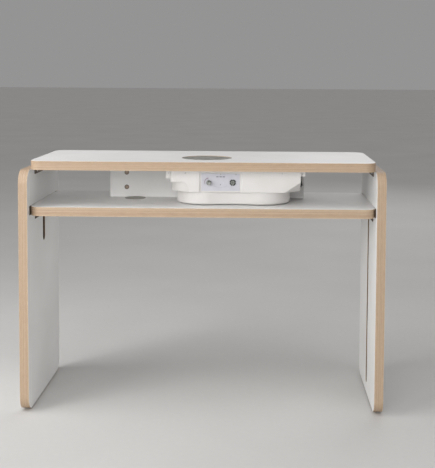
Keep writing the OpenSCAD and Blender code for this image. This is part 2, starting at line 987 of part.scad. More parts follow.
module impeller() {
    color(dark_colour) translate([fan_x, intake_y, impeller_bottom]) difference() {
        union() {
            rod_z(0, 0, impeller_h - impeller_plate_t, impeller_r, impeller_plate_t);
            rod_z(0, 0, impeller_h - hub_h, impeller_hub_r, hub_h);
            tube_z(0, 0, 0, impeller_r, impeller_eye_r, impeller_plate_t);
            intersection() {
                cylinder(r = impeller_r, h = impeller_h);
                for (blade = [1 : impeller_blades])
                    rotate([0, 0, 360 / impeller_blades * blade])
                        translate([blade_inner_r, 0, 0]) rotate([0, 0, blade_rake])
                            translate([0, -blade_t / 2, 0])
                                cube([impeller_r, blade_t, impeller_h]);
            }
        }
        translate([0, 0, -over]) cylinder(r = shaft_r, h = impeller_h + 2 * over);
    }
}

// ---- Nodes ----

left_side_core();
left_side_laminate();
right_side_core();
right_side_laminate();
worktop_core();
worktop_laminate();
shelf_core();
shelf_laminate();
rear_panel_core();
rear_panel_laminate();
worktop_cleat_left();
worktop_cleat_right();
shelf_cleat_left();
shelf_cleat_right();
cleat_screws();
cam_locks();
cam_bolts();
grommet_ring();
grommet_lid();
foot_front_left();
foot_front_right();
foot_rear_left();
foot_rear_right();
foot_inserts();
intake_collar();
intake_grille();
filter_cassette();
filter_mat();
extractor_housing();
extractor_tray();
housing_screws();
tray_screws();
control_fascia();
speed_knob();
knob_shaft();
potentiometer();
socket_body();
socket_ring();
indicator_lamp();
rocker_frame();
rocker_switch();
circuit_board();
power_module();
power_inlet();
inlet_pins();
fan_motor();
motor_plate();
motor_shaft();
impeller();
exhaust_grille();
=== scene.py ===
import json
import math

import bmesh
import bpy
from mathutils import Matrix, Vector


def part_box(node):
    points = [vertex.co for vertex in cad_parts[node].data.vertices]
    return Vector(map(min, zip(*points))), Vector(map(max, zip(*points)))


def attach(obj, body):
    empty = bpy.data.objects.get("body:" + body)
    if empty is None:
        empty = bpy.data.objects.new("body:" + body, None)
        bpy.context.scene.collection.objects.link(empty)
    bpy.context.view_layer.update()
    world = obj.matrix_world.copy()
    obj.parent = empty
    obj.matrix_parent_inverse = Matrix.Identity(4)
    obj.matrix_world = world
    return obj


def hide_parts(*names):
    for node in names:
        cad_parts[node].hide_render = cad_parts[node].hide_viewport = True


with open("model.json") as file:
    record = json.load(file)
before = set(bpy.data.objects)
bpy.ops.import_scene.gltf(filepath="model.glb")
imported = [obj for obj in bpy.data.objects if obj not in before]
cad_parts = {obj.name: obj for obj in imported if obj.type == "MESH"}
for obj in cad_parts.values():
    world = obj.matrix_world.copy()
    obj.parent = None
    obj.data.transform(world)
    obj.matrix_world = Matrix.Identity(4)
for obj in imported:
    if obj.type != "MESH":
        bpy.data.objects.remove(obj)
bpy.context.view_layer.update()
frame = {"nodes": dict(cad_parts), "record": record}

NODES = frame["nodes"]
RECORD = frame["record"]
BODY_OF = {n: body for body, members in RECORD["behaviour"]["bodies"].items() for n in members}
SLOT_OF = {part["node"]: part["material_slot"] for part in RECORD["subparts"]}
MM = 0.001
UP, FRONT = (0, 0, 1), (0, -1, 0)


# ---- Mesh tools. Every mesh is built in millimetres, in the frame of the CAD model. ----

FLAT_ANGLE = math.radians(0.3)


def in_scene(name, data):
    """A new object in the scene from a mesh, a light or a camera."""
    made = bpy.data.objects.new(name, data)
    bpy.context.scene.collection.objects.link(made)
    return made


def box_of(node):
    """The lowest and highest corner of a CAD node, in millimetres."""
    low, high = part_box(node)
    return low / MM, high / MM


def welded(node):
    """A CAD node's mesh in millimetres, with its split points joined and its flat faces merged."""
    bm = bmesh.new()
    bm.from_mesh(NODES[node].data)
    bmesh.ops.scale(bm, vec=(1 / MM,) * 3, verts=bm.verts)
    bmesh.ops.remove_doubles(bm, verts=bm.verts, dist=0.01)
    bmesh.ops.dissolve_limit(bm, angle_limit=FLAT_ANGLE, verts=bm.verts, edges=bm.edges)
    return bm


def islands(node):
    """The corner points of each separate solid of a CAD node."""
    bm = welded(node)
    left, found = set(bm.verts), []
    while left:
        group, front = set(), [left.pop()]
        while front:
            point = front.pop()
            group.add(point)
            for edge in point.link_edges:
                other = edge.other_vert(point)
                if other in left:
                    left.remove(other)
                    front.append(other)
        found.append([point.co.copy() for point in group])
    bm.free()
    return sorted(found, key=lambda points: tuple(round(c) for c in points_box(points)[0]))


def points_box(points):
    low = Vector(min(p[i] for p in points) for i in range(3))
    high = Vector(max(p[i] for p in points) for i in range(3))
    return low, high


def round_edges(bm, width, segments=2, angle=30, chosen=None):
    """Rounds the edges that are sharper than an angle, or those of them that a test chooses."""
    edges = [
        e for e in bm.edges
        if len(e.link_faces) == 2 and e.calc_face_angle() > math.radians(angle)
        and (chosen is None or chosen(e))
    ]
    bmesh.ops.bevel(bm, geom=edges, offset=width, segments=segments, profile=0.5,
                    affect="EDGES", clamp_overlap=True)
    return bm


def loft(rings, wrap=False):
    """A solid through rings of equally many points, with flat ends unless it wraps round."""
    bm = bmesh.new()
    rows = [[bm.verts.new(p) for p in ring] for ring in rings]
    following = rows[1:] + rows[:1] if wrap else rows[1:]
    for row, after in zip(rows, following):
        for i in range(len(row)):
            j = (i + 1) % len(row)
            bm.faces.new((row[i], row[j], after[j], after[i]))
    if not wrap:
        bm.faces.new(rows[0])
        bm.faces.new(rows[-1])
    bmesh.ops.recalc_face_normals(bm, faces=bm.faces)
    return bm


def ring(radius, level, count=64, shape=None):
    """A closed ring about Z. shape gives a factor on the radius at an angle."""
    points = []
    for step in range(count):
        angle = 2 * math.pi * step / count
        reach = radius * (shape(angle) if shape else 1)
        points.append(Vector((reach * math.cos(angle), reach * math.sin(angle), level)))
    return points


def lathe(profile, count=64, wrap=False):
    """A turned solid about Z from rows of radius, level and, if it isn't round, a shape."""
    return loft([ring(row[0], row[1], count, *row[2:]) for row in profile], wrap)


def placed(bm, at, axis=UP, turn=0):
    """Turns a mesh about Z, then its Z axis to another, and moves it."""
    matrix = Matrix.Translation(at) @ Vector(axis).to_track_quat("Z", "Y").to_matrix().to_4x4()
    bmesh.ops.transform(bm, matrix=matrix @ Matrix.Rotation(turn, 4, "Z"), verts=bm.verts)
    return bm


def joined(*parts):
    """One bmesh that holds several."""
    whole = bmesh.new()
    for part in parts:
        mesh = bpy.data.meshes.new("part")
        part.to_mesh(mesh)
        whole.from_mesh(mesh)
        bpy.data.meshes.remove(mesh)
        part.free()
    return whole


def block(low, high):
    low, high = Vector(low), Vector(high)
    bm = bmesh.new()
    bmesh.ops.create_cube(bm, size=1, matrix=Matrix.Translation((low + high) / 2)
                          @ Matrix.Diagonal((*(high - low), 1)))
    return bm


def rod(at, axis, radius, length, count=48):
    return placed(lathe([(radius, 0), (radius, length)], count), at, axis)


def plate(points, depth):
    """A flat solid: a face through the points, and its copy moved by depth."""
    return loft([[Vector(p) for p in points], [Vector(p) + Vector(depth) for p in points]])


def combined(bm, operation, other):
    """A bmesh after a boolean with another one."""
    operands = []
    for part in (bm, other):
        mesh = bpy.data.meshes.new("operand")
        part.to_mesh(mesh)
        part.free()
        operands.append(in_scene("operand", mesh))
    modifier = operands[0].modifiers.new("boolean", "BOOLEAN")
    modifier.object = operands[1]
    modifier.operation = operation
    modifier.solver = "EXACT"
    evaluated = operands[0].evaluated_get(bpy.context.evaluated_depsgraph_get())
    mesh = bpy.data.meshes.new_from_object(evaluated)
    made = bmesh.new()
    made.from_mesh(mesh)
    bpy.data.meshes.remove(mesh)
    for operand in operands:
        old = operand.data
        bpy.data.objects.remove(operand)
        bpy.data.meshes.remove(old)
    bmesh.ops.remove_doubles(made, verts=made.verts, dist=0.005)
    bmesh.ops.dissolve_limit(made, angle_limit=FLAT_ANGLE, verts=made.verts, edges=made.edges)
    return made


LARGE_FACE, SLIGHT_CREASE = 400, 6  # square millimetres, degrees


def shade(bm, angle):
    """Shades a mesh smooth, but for its sharp edges and the slight ones between large faces."""
    for face in bm.faces:
        face.smooth = True
    for edge in bm.edges:
        if len(edge.link_faces) == 2:
            turn = math.degrees(edge.calc_face_angle(0))
            area = min(face.calc_area() for face in edge.link_faces)
            edge.smooth = turn < angle and not (turn > SLIGHT_CREASE and area > LARGE_FACE)


def add_piece(name, bm, materials, replaced=(), body=None, slot=None, angle=35):
    """Puts a mesh in the scene as a piece, which rides on a body and stands for CAD nodes."""
    shade(bm, angle)
    bmesh.ops.scale(bm, vec=(MM,) * 3, verts=bm.verts)
    mesh = bpy.data.meshes.new(name)
    bm.to_mesh(mesh)
    bm.free()
    for material in materials if isinstance(materials, (list, tuple)) else [materials]:
        mesh.materials.append(material)
    piece = in_scene(name, mesh)
    normals = piece.modifiers.new("normals", "WEIGHTED_NORMAL")
    normals.keep_sharp = True
    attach(piece, body or BODY_OF[replaced[0]])
    if replaced:
        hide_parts(*replaced)
    slot or SLOT_OF[replaced[0]]
    return piece


# ---- Materials ----

def srgb(red, green, blue):
    """A linear colour from 8-bit display values."""
    linear = [((c / 255 + 0.055) / 1.055) ** 2.4 for c in (red, green, blue)]
    return (*linear, 1.0)


class Finish:
    """A material in the making. Its methods add nodes and return sockets."""

    def __init__(self, name, **own):
        self.material = bpy.data.materials.new(name)
        self.material.use_nodes = True
        self.tree = self.material.node_tree
        self.shader = self.tree.nodes["Principled BSDF"]
        for socket, value in own.items():
            self.shader.inputs[socket.replace("_", " ")].default_value = value
        self.point = self.node("ShaderNodeTexCoord")["Object"]
        self.height = None

    def node(self, kind, inputs=None, **settings):
        made = self.tree.nodes.new(kind)
        for key, value in settings.items():
            setattr(made, key, value)
        for key, value in (inputs or {}).items():
            if isinstance(value, bpy.types.NodeSocket):
                self.tree.links.new(value, made.inputs[key])
            else:
                made.inputs[key].default_value = value
        return made.outputs

    def math(self, operation, *values):
        return self.node("ShaderNodeMath", dict(enumerate(values)), operation=operation)[0]

    def noise(self, scale, detail=2.0, stretch=(1, 1, 1)):
        vector = self.node("ShaderNodeMapping", {"Vector": self.point, "Scale": stretch})[0]
        return self.node("ShaderNodeTexNoise",
                         {"Vector": vector, "Scale": scale, "Detail": detail})[0]

    def spread(self, value, low, high, start=0.3, end=0.7):
        """A value from low to high as another goes from start to end."""
        return self.node("ShaderNodeMapRange", {"Value": value, "From Min": start, "From Max": end,
                                                "To Min": low, "To Max": high})[0]

    def mix(self, factor, first, second):
        return self.node("ShaderNodeMix", {0: factor, 6: first, 7: second}, data_type="RGBA")[2]

    def bump(self, height, depth):
        """Adds relief of a depth in metres on top of what is there."""
        inputs = {"Height": height, "Distance": depth, "Strength": 1.0}
        if self.height is not None:
            inputs["Normal"] = self.height
        self.height = self.node("ShaderNodeBump", inputs)[0]
        return self

    def done(self, colour=None, roughness=None):
        for socket, value in (("Base Color", colour), ("Roughness", roughness),
                              ("Normal", self.height)):
            if value is not None:
                self.tree.links.new(value, self.shader.inputs[socket])
        return self.material


def laminate_finish():
    """Matt white laminate with a fine pearl texture and a faint drift in tone."""
    f = Finish("white_laminate", Specular_IOR_Level=0.45)
    drift = f.spread(f.noise(5, 3), 0.0, 1.0)
    pearl = f.noise(900, 2)
    colour = f.mix(drift, srgb(237, 236, 235), srgb(230, 229, 227))
    return f.bump(pearl, 0.00004).done(colour, f.spread(pearl, 0.40, 0.52))


def plywood_finish(name, axis):
    """Lacquered birch plywood. Its layers are stacked along an axis and show on the edges."""
    f = Finish(name, Specular_IOR_Level=0.4)
    layer_pitch, band_pitch = 0.0015, 0.0044  # metres
    grain_stretch, streak_stretch = 0.06, 0.25
    along = f.node("ShaderNodeSeparateXYZ", {0: f.point})[axis]
    wander = f.math("MULTIPLY", f.noise(7, 2), 0.9)
    level = f.math("ADD", f.math("DIVIDE", along, layer_pitch), wander)
    layer = f.math("FLOOR", level)
    tone = f.node("ShaderNodeTexWhiteNoise", {"W": layer}, noise_dimensions="1D")["Value"]
    inside = f.math("ABSOLUTE", f.math("SUBTRACT", f.math("FRACT", level), 0.5))
    glue = f.spread(inside, 0.0, 0.55, 0.38, 0.5)
    grain = f.noise(1500, 3, [1.0 if i == axis else grain_stretch for i in range(3)])
    streak = f.noise(160, 2, [1.0 if i == axis else streak_stretch for i in range(3)])
    pores = f.noise(2300, 1)
    bands = f.node("ShaderNodeTexNoise", {"W": f.math("DIVIDE", along, band_pitch), "Detail": 1.0},
                   noise_dimensions="1D")[0]
    colour = f.mix(tone, srgb(206, 188, 163), srgb(178, 154, 128))
    colour = f.mix(f.spread(bands, 0.0, 0.9, 0.46, 0.56), colour, srgb(163, 135, 115))
    colour = f.mix(f.spread(streak, 0.0, 0.4), colour, srgb(194, 171, 143))
    colour = f.mix(f.spread(grain, 0.0, 0.3, 0.45, 0.75), colour, srgb(160, 130, 101))
    colour = f.mix(glue, colour, srgb(140, 110, 83))
    f.bump(grain, 0.00010).bump(pores, 0.00004).bump(f.math("MULTIPLY", glue, -1.0), 0.00006)
    return f.done(colour, f.spread(grain, 0.42, 0.6))


def shell_finish():
    """Satin white moulded plastic with a fine spark-eroded texture."""
    f = Finish("white_moulding", Specular_IOR_Level=0.5)
    drift = f.spread(f.noise(14, 2), 0.0, 1.0)
    texture = f.noise(2600, 1)
    colour = f.mix(drift, srgb(222, 220, 218), srgb(216, 213, 210))
    return f.bump(texture, 0.00003).done(colour, f.spread(texture, 0.30, 0.42))


def metal_finish(name, light, dark, rough, brushed=(1, 1, 1), scale=900.0, metallic=1.0):
    """Metal with a brushed or grainy surface and patches of duller tone."""
    f = Finish(name, Metallic=metallic)
    lines = f.noise(scale, 3, brushed)
    patches = f.noise(45, 3)
    colour = f.mix(f.spread(patches, 0.0, 1.0), srgb(*light), srgb(*dark))
    rough_now = f.math("ADD", f.spread(lines, -0.06, 0.1), f.spread(patches, rough, rough + 0.12))
    return f.bump(lines, 0.00004).done(colour, rough_now)


def plastic_finish(name, light, dark, rough=0.38, scale=1800.0, depth=0.00004):
    """Coloured moulded plastic or rubber with a fine grain."""
    f = Finish(name, Specular_IOR_Level=0.5)
    grain = f.noise(scale, 2)
    colour = f.mix(f.spread(f.noise(60, 2), 0.0, 1.0), srgb(*light), srgb(*dark))
    return f.bump(grain, depth).done(colour, f.spread(grain, rough - 0.05, rough + 0.08))


def fibre_finish():
    """A mat of fine black fibres."""
    f = Finish("filter_fibres", Specular_IOR_Level=0.2, Sheen_Weight=0.3)
    long_way, cross_way = f.noise(500, 3, (1, 0.15, 0.4)), f.noise(500, 3, (0.15, 1, 0.4))
    fibres = f.math("MAXIMUM", long_way, cross_way)
    colour = f.mix(f.spread(fibres, 0.0, 1.0, 0.45, 0.7), srgb(22, 22, 23), srgb(64, 63, 60))
    return f.bump(fibres, 0.0006).done(colour, f.spread(fibres, 0.8, 0.95))


def board_finish():
    """Green circuit laminate with copper tracks under the lacquer."""
    f = Finish("circuit_green", Specular_IOR_Level=0.5)
    tracks = f.node("ShaderNodeTexBrick", {"Vector": f.point, "Scale": 140.0, "Mortar Size": 0.035,
                                           "Color1": srgb(20, 84, 52), "Color2": srgb(24, 92, 56),
                                           "Mortar": srgb(46, 128, 78)})
    return f.bump(tracks["Fac"], 0.00004).done(tracks["Color"], f.spread(f.noise(400), 0.3, 0.45))


LAMINATE = laminate_finish()
# Dark brown painted shade for the faces inside the side panels' slot and cable channel
PAINTED_GROOVE_SHADE = plastic_finish("groove_painted_shade", (104, 76, 52), (80, 56, 37), 0.7, 700, 0.0002)
LAMINATE_EDGE = plastic_finish("laminate_core", (206, 182, 152), (190, 164, 134), 0.5, 900)
PLY_X = plywood_finish("plywood_upright", 0)
PLY_Y = plywood_finish("plywood_back", 1)
PLY_Z = plywood_finish("plywood_level", 2)
SHELL = shell_finish()
BRONZE = metal_finish("bronzed_steel", (110, 96, 85), (86, 74, 65), 0.45, (1, 0.08, 1), 1100, 0.7)
BRONZE_LIGHT = metal_finish("bronzed_zinc", (176, 160, 146), (150, 135, 121), 0.42, metallic=0.6)
ZINC = metal_finish("zinc_plate", (196, 196, 193), (172, 172, 170), 0.3)
GRILLE_STEEL = metal_finish("stainless_sheet", (196, 194, 188), (150, 148, 142), 0.34,
                            (1, 0.05, 1), 1400, 0.9)
KNOB_METAL = metal_finish("knob_aluminium", (158, 160, 156), (136, 139, 134), 0.32, (1, 0.2, 1),
                          1200, 0.9)
BLACK = plastic_finish("black_moulding", (30, 30, 31), (22, 22, 23))
RUBBER = plastic_finish("foot_rubber", (44, 42, 40), (33, 32, 31), 0.7, 900, 0.0001)
GROMMET = plastic_finish("grommet_moulding", (150, 146, 137), (134, 130, 121), 0.42)
FILM = plastic_finish("fascia_film", (202, 202, 209), (195, 195, 203), 0.34, 3000, 0.00002)
LAMP = plastic_finish("lamp_lens", (150, 148, 156), (132, 130, 140), 0.2, 1500, 0.00002)
INK_DARK = plastic_finish("ink_dark", (112, 110, 120), (96, 95, 106), 0.45)
SCALE_INK = plastic_finish("ink_scale", (158, 140, 150), (148, 130, 142), 0.45)
INK_PALE = plastic_finish("ink_pale", (176, 175, 188), (166, 165, 179), 0.45)
FIBRES = fibre_finish()
CIRCUIT = board_finish()

SLOT_FINISH = {
    "laminate": LAMINATE, "bronze_metal": BRONZE, "zinc_steel": ZINC, "grille_steel": GRILLE_STEEL,
    "extractor_shell": SHELL, "black_plastic": BLACK, "grommet_plastic": GROMMET,
    "fascia_film": FILM, "knob_metal": KNOB_METAL, "lamp_lens": LAMP,
    "circuit_laminate": CIRCUIT, "filter_fibre": FIBRES, "foot_rubber": RUBBER,
}
PLY_FINISH = {"left_side_core": PLY_X, "right_side_core": PLY_X, "rear_panel_core": PLY_Y,
              "worktop_core": PLY_Z, "shelf_core": PLY_Z}


def finish_of(node):
    return PLY_FINISH.get(node) or SLOT_FINISH[SLOT_OF[node]]


# ---- Pieces that keep the CAD shape, with their edges rounded by this many millimetres ----

ROUNDED = {
    "left_side_laminate": 0.3, "right_side_laminate": 0.3, "worktop_laminate": 0.3,
    "shelf_laminate": 0.3, "rear_panel_laminate": 0.3,
    "left_side_core": 0, "right_side_core": 0, "worktop_core": 0, "shelf_core": 0,
    "rear_panel_core": 0,
    "worktop_cleat_left": 0.5, "worktop_cleat_right": 0.5, "shelf_cleat_left": 0.5,
    "shelf_cleat_right": 0.5,
    "grommet_ring": 0.6, "grommet_lid": 0.6, "foot_front_left": 0.9, "foot_front_right": 0.9,
    "foot_rear_left": 0.9, "foot_rear_right": 0.9, "foot_inserts": 0.4,
    "intake_collar": 0.8, "filter_cassette": 0.7, "control_fascia": 0.4, "potentiometer": 0.4,
    "rocker_frame": 0.6, "rocker_switch": 0.7, "power_inlet": 0.6, "exhaust_grille": 0.5,
    "impeller": 0.25, "fan_motor": 1.5, "motor_plate": 0.5, "circuit_board": 0.2,
    "power_module": 1.0,
}
GROOVE_DEPTH = 8
LAMINATE_AXIS = {"left_side": 0, "right_side": 0, "worktop": 2, "shelf": 2, "rear_panel": 1}
for node_name, width in ROUNDED.items():
    shape = welded(node_name)
    if width:
        round_edges(shape, width)
    finishes = [finish_of(node_name)]
    board = node_name.removesuffix("_laminate")
    if board in LAMINATE_AXIS:
        # The cut edges of the skins show the laminate's tan core
        finishes.append(LAMINATE_EDGE)
        for face in shape.faces:
            face.normal_update()
            face.material_index = int(abs(face.normal[LAMINATE_AXIS[board]]) < 0.9)
    if node_name in ("left_side_core", "right_side_core"):
        # Painted shade: the faces inside the milled slot and cable channel get a dark brown that
        # stands for the shade in them
        finishes.append(PAINTED_GROOVE_SHADE)
        inner_face = min(abs(v.co.x) for v in shape.verts)
        for face in shape.faces:
            reach = max(abs(v.co.x) for v in face.verts)
            face.material_index = int(inner_face + 1 < reach < inner_face + GROOVE_DEPTH)
    add_piece(node_name + "_finished", shape, finishes, [node_name])

for node_name in ("cam_bolts", "knob_shaft", "motor_shaft", "inlet_pins"):
    cad = NODES[node_name]
    cad.data.materials.clear()
    cad.data.materials.append(finish_of(node_name))


# ---- Screws and cam locks ----

def cross(arm, half_width):
    """A cross-shaped recess as a factor on a radius of 1."""
    def reach(angle):
        c, s = max(abs(math.cos(angle)), 1e-6), max(abs(math.sin(angle)), 1e-6)
        return max(min(arm / c, half_width / s), min(half_width / c, arm / s))
    return reach


SCREW_HEAD_H = {"cleat_screws": 2.0, "housing_screws": 3.0, "tray_screws": 2.5}
SCREW_TIP, RECESS_TURN = 2.0, math.radians(20)


def screw(points, head_h):
    """A pan-head screw with a cross recess, where the CAD model has its plain one."""
    low, high = points_box(points)
    size = high - low
    axis = max(range(3), key=lambda i: size[i])
    middle = (low + high) / 2

    def reach_at(level):
        near = [p for p in points if abs(p[axis] - level) < 0.2]
        return max(abs(p[i] - middle[i]) for p in near for i in range(3) if i != axis)

    head_up = reach_at(high[axis]) > reach_at(low[axis])
    head_r, shank_r = sorted((reach_at(low[axis]), reach_at(high[axis])), reverse=True)
    length, recess = size[axis], cross(1.0, 0.24)
    shape = lathe([
        (shank_r * 0.3, 0), (shank_r, SCREW_TIP), (shank_r, length - head_h),
        (head_r, length - head_h), (head_r, length - head_h * 0.7),
        (head_r * 0.86, length - head_h * 0.2), (head_r * 0.6, length),
        (head_r * 0.52, length, recess), (head_r * 0.4, length - head_h * 0.75, recess),
    ], 48)
    direction = Vector((0, 0, 0))
    direction[axis] = 1 if head_up else -1
    start = middle.copy()
    start[axis] = low[axis] if head_up else high[axis]
    return placed(shape, start, direction, RECESS_TURN)


for node_name, head_h in SCREW_HEAD_H.items():
    screws = joined(*[screw(points, head_h) for points in islands(node_name)])
    add_piece(node_name + "_finished", screws, ZINC, [node_name])


CAM_RIM, CAM_SINK, CAM_EDGE = 1.7, 0.9, 0.4


def cam_lock(points):
    """A cam lock seen from the front: a rim round a sunk face with a cross recess."""
    low, high = points_box(points)
    radius, depth = (high.x - low.x) / 2, high.y - low.y
    recess = cross(1.0, 0.26)
    shape = lathe([
        (radius, 0), (radius, depth - CAM_EDGE), (radius - CAM_EDGE, depth),
        (radius - CAM_RIM, depth), (radius - CAM_RIM - 0.3, depth - CAM_SINK),
        (radius * 0.55, depth - CAM_SINK, recess), (radius * 0.5, depth - CAM_SINK - 2.5, recess),
    ], 64)
    # The sunk face is lighter than the rim
    inner = radius - CAM_RIM - 0.2
    for face in shape.faces:
        if all(math.hypot(v.co.x, v.co.y) < inner for v in face.verts):
            face.material_index = 1
    middle = (low + high) / 2
    return placed(shape, (middle.x, high.y, middle.z), FRONT, math.radians(30))


add_piece("cam_locks_finished", joined(*[cam_lock(points) for points in islands("cam_locks")]),
          [BRONZE, BRONZE_LIGHT], ["cam_locks"])


# ---- Intake: perforated steel lid and pleated filter ----

PERFORATION_R, PERFORATION_PITCH, PERFORATION_MARGIN, SHEET_T = 1.7, 5.0, 3.0, 0.8


def perforated_disc(radius):
    """A round steel sheet with round holes in staggered rows."""
    bm = bmesh.new()

    def circle(x, y, r, count):
        points = [bm.verts.new((x + p.x, y + p.y, 0)) for p in ring(r, 0, count)]
        return [bm.edges.new((points[i], points[(i + 1) % count])) for i in range(count)]

    edges = circle(0, 0, radius, 128)
    pitch = PERFORATION_PITCH
    reach = int(radius / pitch) + 2
    for row in range(-reach, reach + 1):
        for column in range(-reach, reach + 1):
            x, y = pitch * (column + (row % 2) / 2), pitch * row * math.sqrt(3) / 2
            if math.hypot(x, y) + PERFORATION_R < radius - PERFORATION_MARGIN:
                edges += circle(x, y, PERFORATION_R, 10)
    bmesh.ops.triangle_fill(bm, edges=edges, use_beauty=True, normal=(0, 0, 1))
    made = bmesh.ops.extrude_face_region(bm, geom=list(bm.faces))
    lifted = [g for g in made["geom"] if isinstance(g, bmesh.types.BMVert)]
    bmesh.ops.translate(bm, vec=(0, 0, SHEET_T), verts=lifted)
    bmesh.ops.recalc_face_normals(bm, faces=bm.faces)
    return bm


def intake_grille():
    low, high = box_of("intake_grille")
    radius, height = (high.x - low.x) / 2, high.z - low.z
    sheet_overlap, sheet_drop = 1.5, 1.1
    sheet = perforated_disc(radius - sheet_overlap)
    bmesh.ops.translate(sheet, vec=(0, 0, height - sheet_drop), verts=sheet.verts)
    rim = lathe([
        (radius - 0.4, 0), (radius, 0.4), (radius, height - 0.6), (radius - 0.6, height),
        (radius - 2.4, height), (radius - 3.2, height - 0.5), (radius - 3.2, 0.3),
        (radius - 2.9, 0),
    ], 128, wrap=True)
    return placed(joined(sheet, rim), ((low.x + high.x) / 2, (low.y + high.y) / 2, low.z))


add_piece("intake_grille_finished", intake_grille(), GRILLE_STEEL, ["intake_grille"])


def pleated_mat():
    low, high = box_of("filter_mat")
    radius, height = (high.x - low.x) / 2, high.z - low.z
    pleats, fold, steps = 40, 3.0, 4
    count = pleats * steps

    def wavy(r, level):
        points = ring(r, level, count)
        for i, point in enumerate(points):
            point.z -= fold * (1 - math.cos(2 * math.pi * i / steps)) / 2
        return points

    shape = loft([
        ring(radius - 0.8, 0, count), ring(radius, 0.8, count), wavy(radius, height),
        wavy(radius * 0.35, height), ring(radius * 0.3, height - fold, count),
    ])
    return placed(shape, ((low.x + high.x) / 2, (low.y + high.y) / 2, low.z))


add_piece("filter_mat_finished", pleated_mat(), FIBRES, ["filter_mat"], angle=20)


# ---- Extractor: upper housing ----

OVER = 2  # how far a cutter reaches past what it cuts
WALL = 2.5
EDGE_ROUND = 0.8
EAR_W, EAR_D, EAR_SETBACK, LEFT_EAR_H, RIGHT_EAR_H = 14, 30, 9, 29, 20
FRONT_EDGE_R, REAR_EDGE_R = 9, 9
# The left corner's cut: its height, how far it bows, and its width and depth at each end
LEFT_FACET_H, LEFT_FACET_BOW = 31.5, 0.6
LEFT_FACET_BOTTOM, LEFT_FACET_TOP = (61.5, 66), (46, 60)
# The right corner's slanted plane: its width, depth and height
RIGHT_FACET = (49, 50, 32)
# The fascia's recess: its margins round the fascia, its right chamfer and its depth
RECESS_LEFT, RECESS_RIGHT, RECESS_TOP = 6, 2, 5
CHAMFER_W, RECESS_DEPTH = 6.5, 4
INTAKE_R, TRAY_OPENING_R, MOTOR_OPENING_R, BUSHING_R = 75.5, 78, 50, 3.8
EXHAUST_PORT_LOW, EXHAUST_PORT_HIGH = (237, -78), (257, -12)
GRILLE_RIM, INLET_RIM, ROCKER_RIM_Y, ROCKER_RIM_Z = 6, 3, 1.7, 0.6

housing_low, housing_high = box_of("extractor_housing")
fascia_low, fascia_high = box_of("control_fascia")


def facet_curve(width, depth, steps=8):
    """A flat curve that cuts a corner off, from a width along the front to a depth."""
    points = []
    for step in range(steps + 1):
        turn = math.pi / 2 * step / steps
        bowed = LEFT_FACET_BOW * (1 - math.cos(turn)) + (1 - LEFT_FACET_BOW) * math.sin(turn)
        points.append((width * (1 - math.sin(turn)), depth * bowed))
    return points


def housing_body(inset):
    """The housing's box with its cut corners and its fascia recess, drawn smaller by an inset."""
    low, high = housing_low, housing_high
    left, right = low.x + EAR_W + inset, high.x - EAR_W - inset
    front, back = low.y + inset, high.y - inset
    form = block((left, front, low.z + inset), (right, back, high.z - inset))
    middle = (low + high) / 2

    def upright(edge, at_front):
        a, b = edge.verts[0].co, edge.verts[1].co
        return abs(a.z - b.z) > 1 and (a.y < middle.y) == at_front

    # Both rear corners and the left front one are rounded
    round_edges(form, REAR_EDGE_R - inset, 6, chosen=lambda e: upright(e, False))
    round_edges(form, FRONT_EDGE_R - inset, 6,
                chosen=lambda e: upright(e, True) and e.verts[0].co.x < middle.x)
    # Left front corner, cut back below the facet's top edge
    rings = []
    for (width, depth), level in ((LEFT_FACET_BOTTOM, low.z - OVER),
                                  (LEFT_FACET_TOP, low.z + LEFT_FACET_H + inset)):
        outline = facet_curve(width, depth)
        outline += [(-OVER - inset, depth), (-OVER - inset, -OVER - inset), (width, -OVER - inset)]
        rings.append([Vector((left + x, front + y, level)) for x, y in outline])
    form = combined(form, "DIFFERENCE", loft(rings))
    # Right front corner, cut by one slanted plane
    corner = Vector((high.x - EAR_W, low.y, low.z))
    across, deep, tall = (Vector(v) for v in ((-RIGHT_FACET[0], 0, 0), (0, RIGHT_FACET[1], 0),
                                              (0, 0, RIGHT_FACET[2])))
    normal = (deep - across).cross(tall - across).normalized()
    if normal.dot(across) > 0:
        normal.negate()
    cut = bmesh.ops.bisect_plane(form, geom=form.verts[:] + form.edges[:] + form.faces[:],
                                 plane_co=corner + across - normal * inset, plane_no=normal,
                                 clear_outer=True)
    rim = [e for e in cut["geom_cut"] if isinstance(e, bmesh.types.BMEdge)]
    bmesh.ops.holes_fill(form, edges=rim, sides=0)
    bmesh.ops.recalc_face_normals(form, faces=form.faces)
    # The recess for the fascia, whose right edge is chamfered
    face, floor = low.y - OVER, low.y + RECESS_DEPTH + inset
    start, end = fascia_low.x - RECESS_LEFT - inset, fascia_high.x + RECESS_RIGHT + inset
    plan = [(start, face), (start, floor), (end, floor), (end + CHAMFER_W, low.y),
            (end + CHAMFER_W, face)]
    recess = plate([(x, y, low.z - OVER) for x, y in plan],
                   (0, 0, fascia_high.z + RECESS_TOP + inset - low.z + OVER))
    return combined(form, "DIFFERENCE", recess)


def upright_hole(node, radius, bottom, top):
    """A cutter about the upright axis of a CAD node."""
    low, high = box_of(node)
    middle = (low + high) / 2
    return rod((middle.x, middle.y, bottom), UP, radius, top - bottom, 96)


def wall_window(node, rim, depth):
    """A cutter in a side wall, which is a CAD node's box without its rim, and reaches inwards."""
    low, high = box_of(node)
    wall_x = low.x if low.x > 0 else high.x
    return block((wall_x - depth, low.y + rim, low.z + rim),
                 (wall_x + depth, high.y - rim, high.z - rim))


def control_bore(node, radius=None):
    """A cutter for a control through the recess's wall, as wide as the control by default."""
    low, high = box_of(node)
    middle = (low + high) / 2
    front = housing_low.y - OVER
    return rod((middle.x, front, middle.z), (0, 1, 0), radius or (high.x - low.x) / 2,
               housing_low.y + RECESS_DEPTH + 2 * WALL - front)


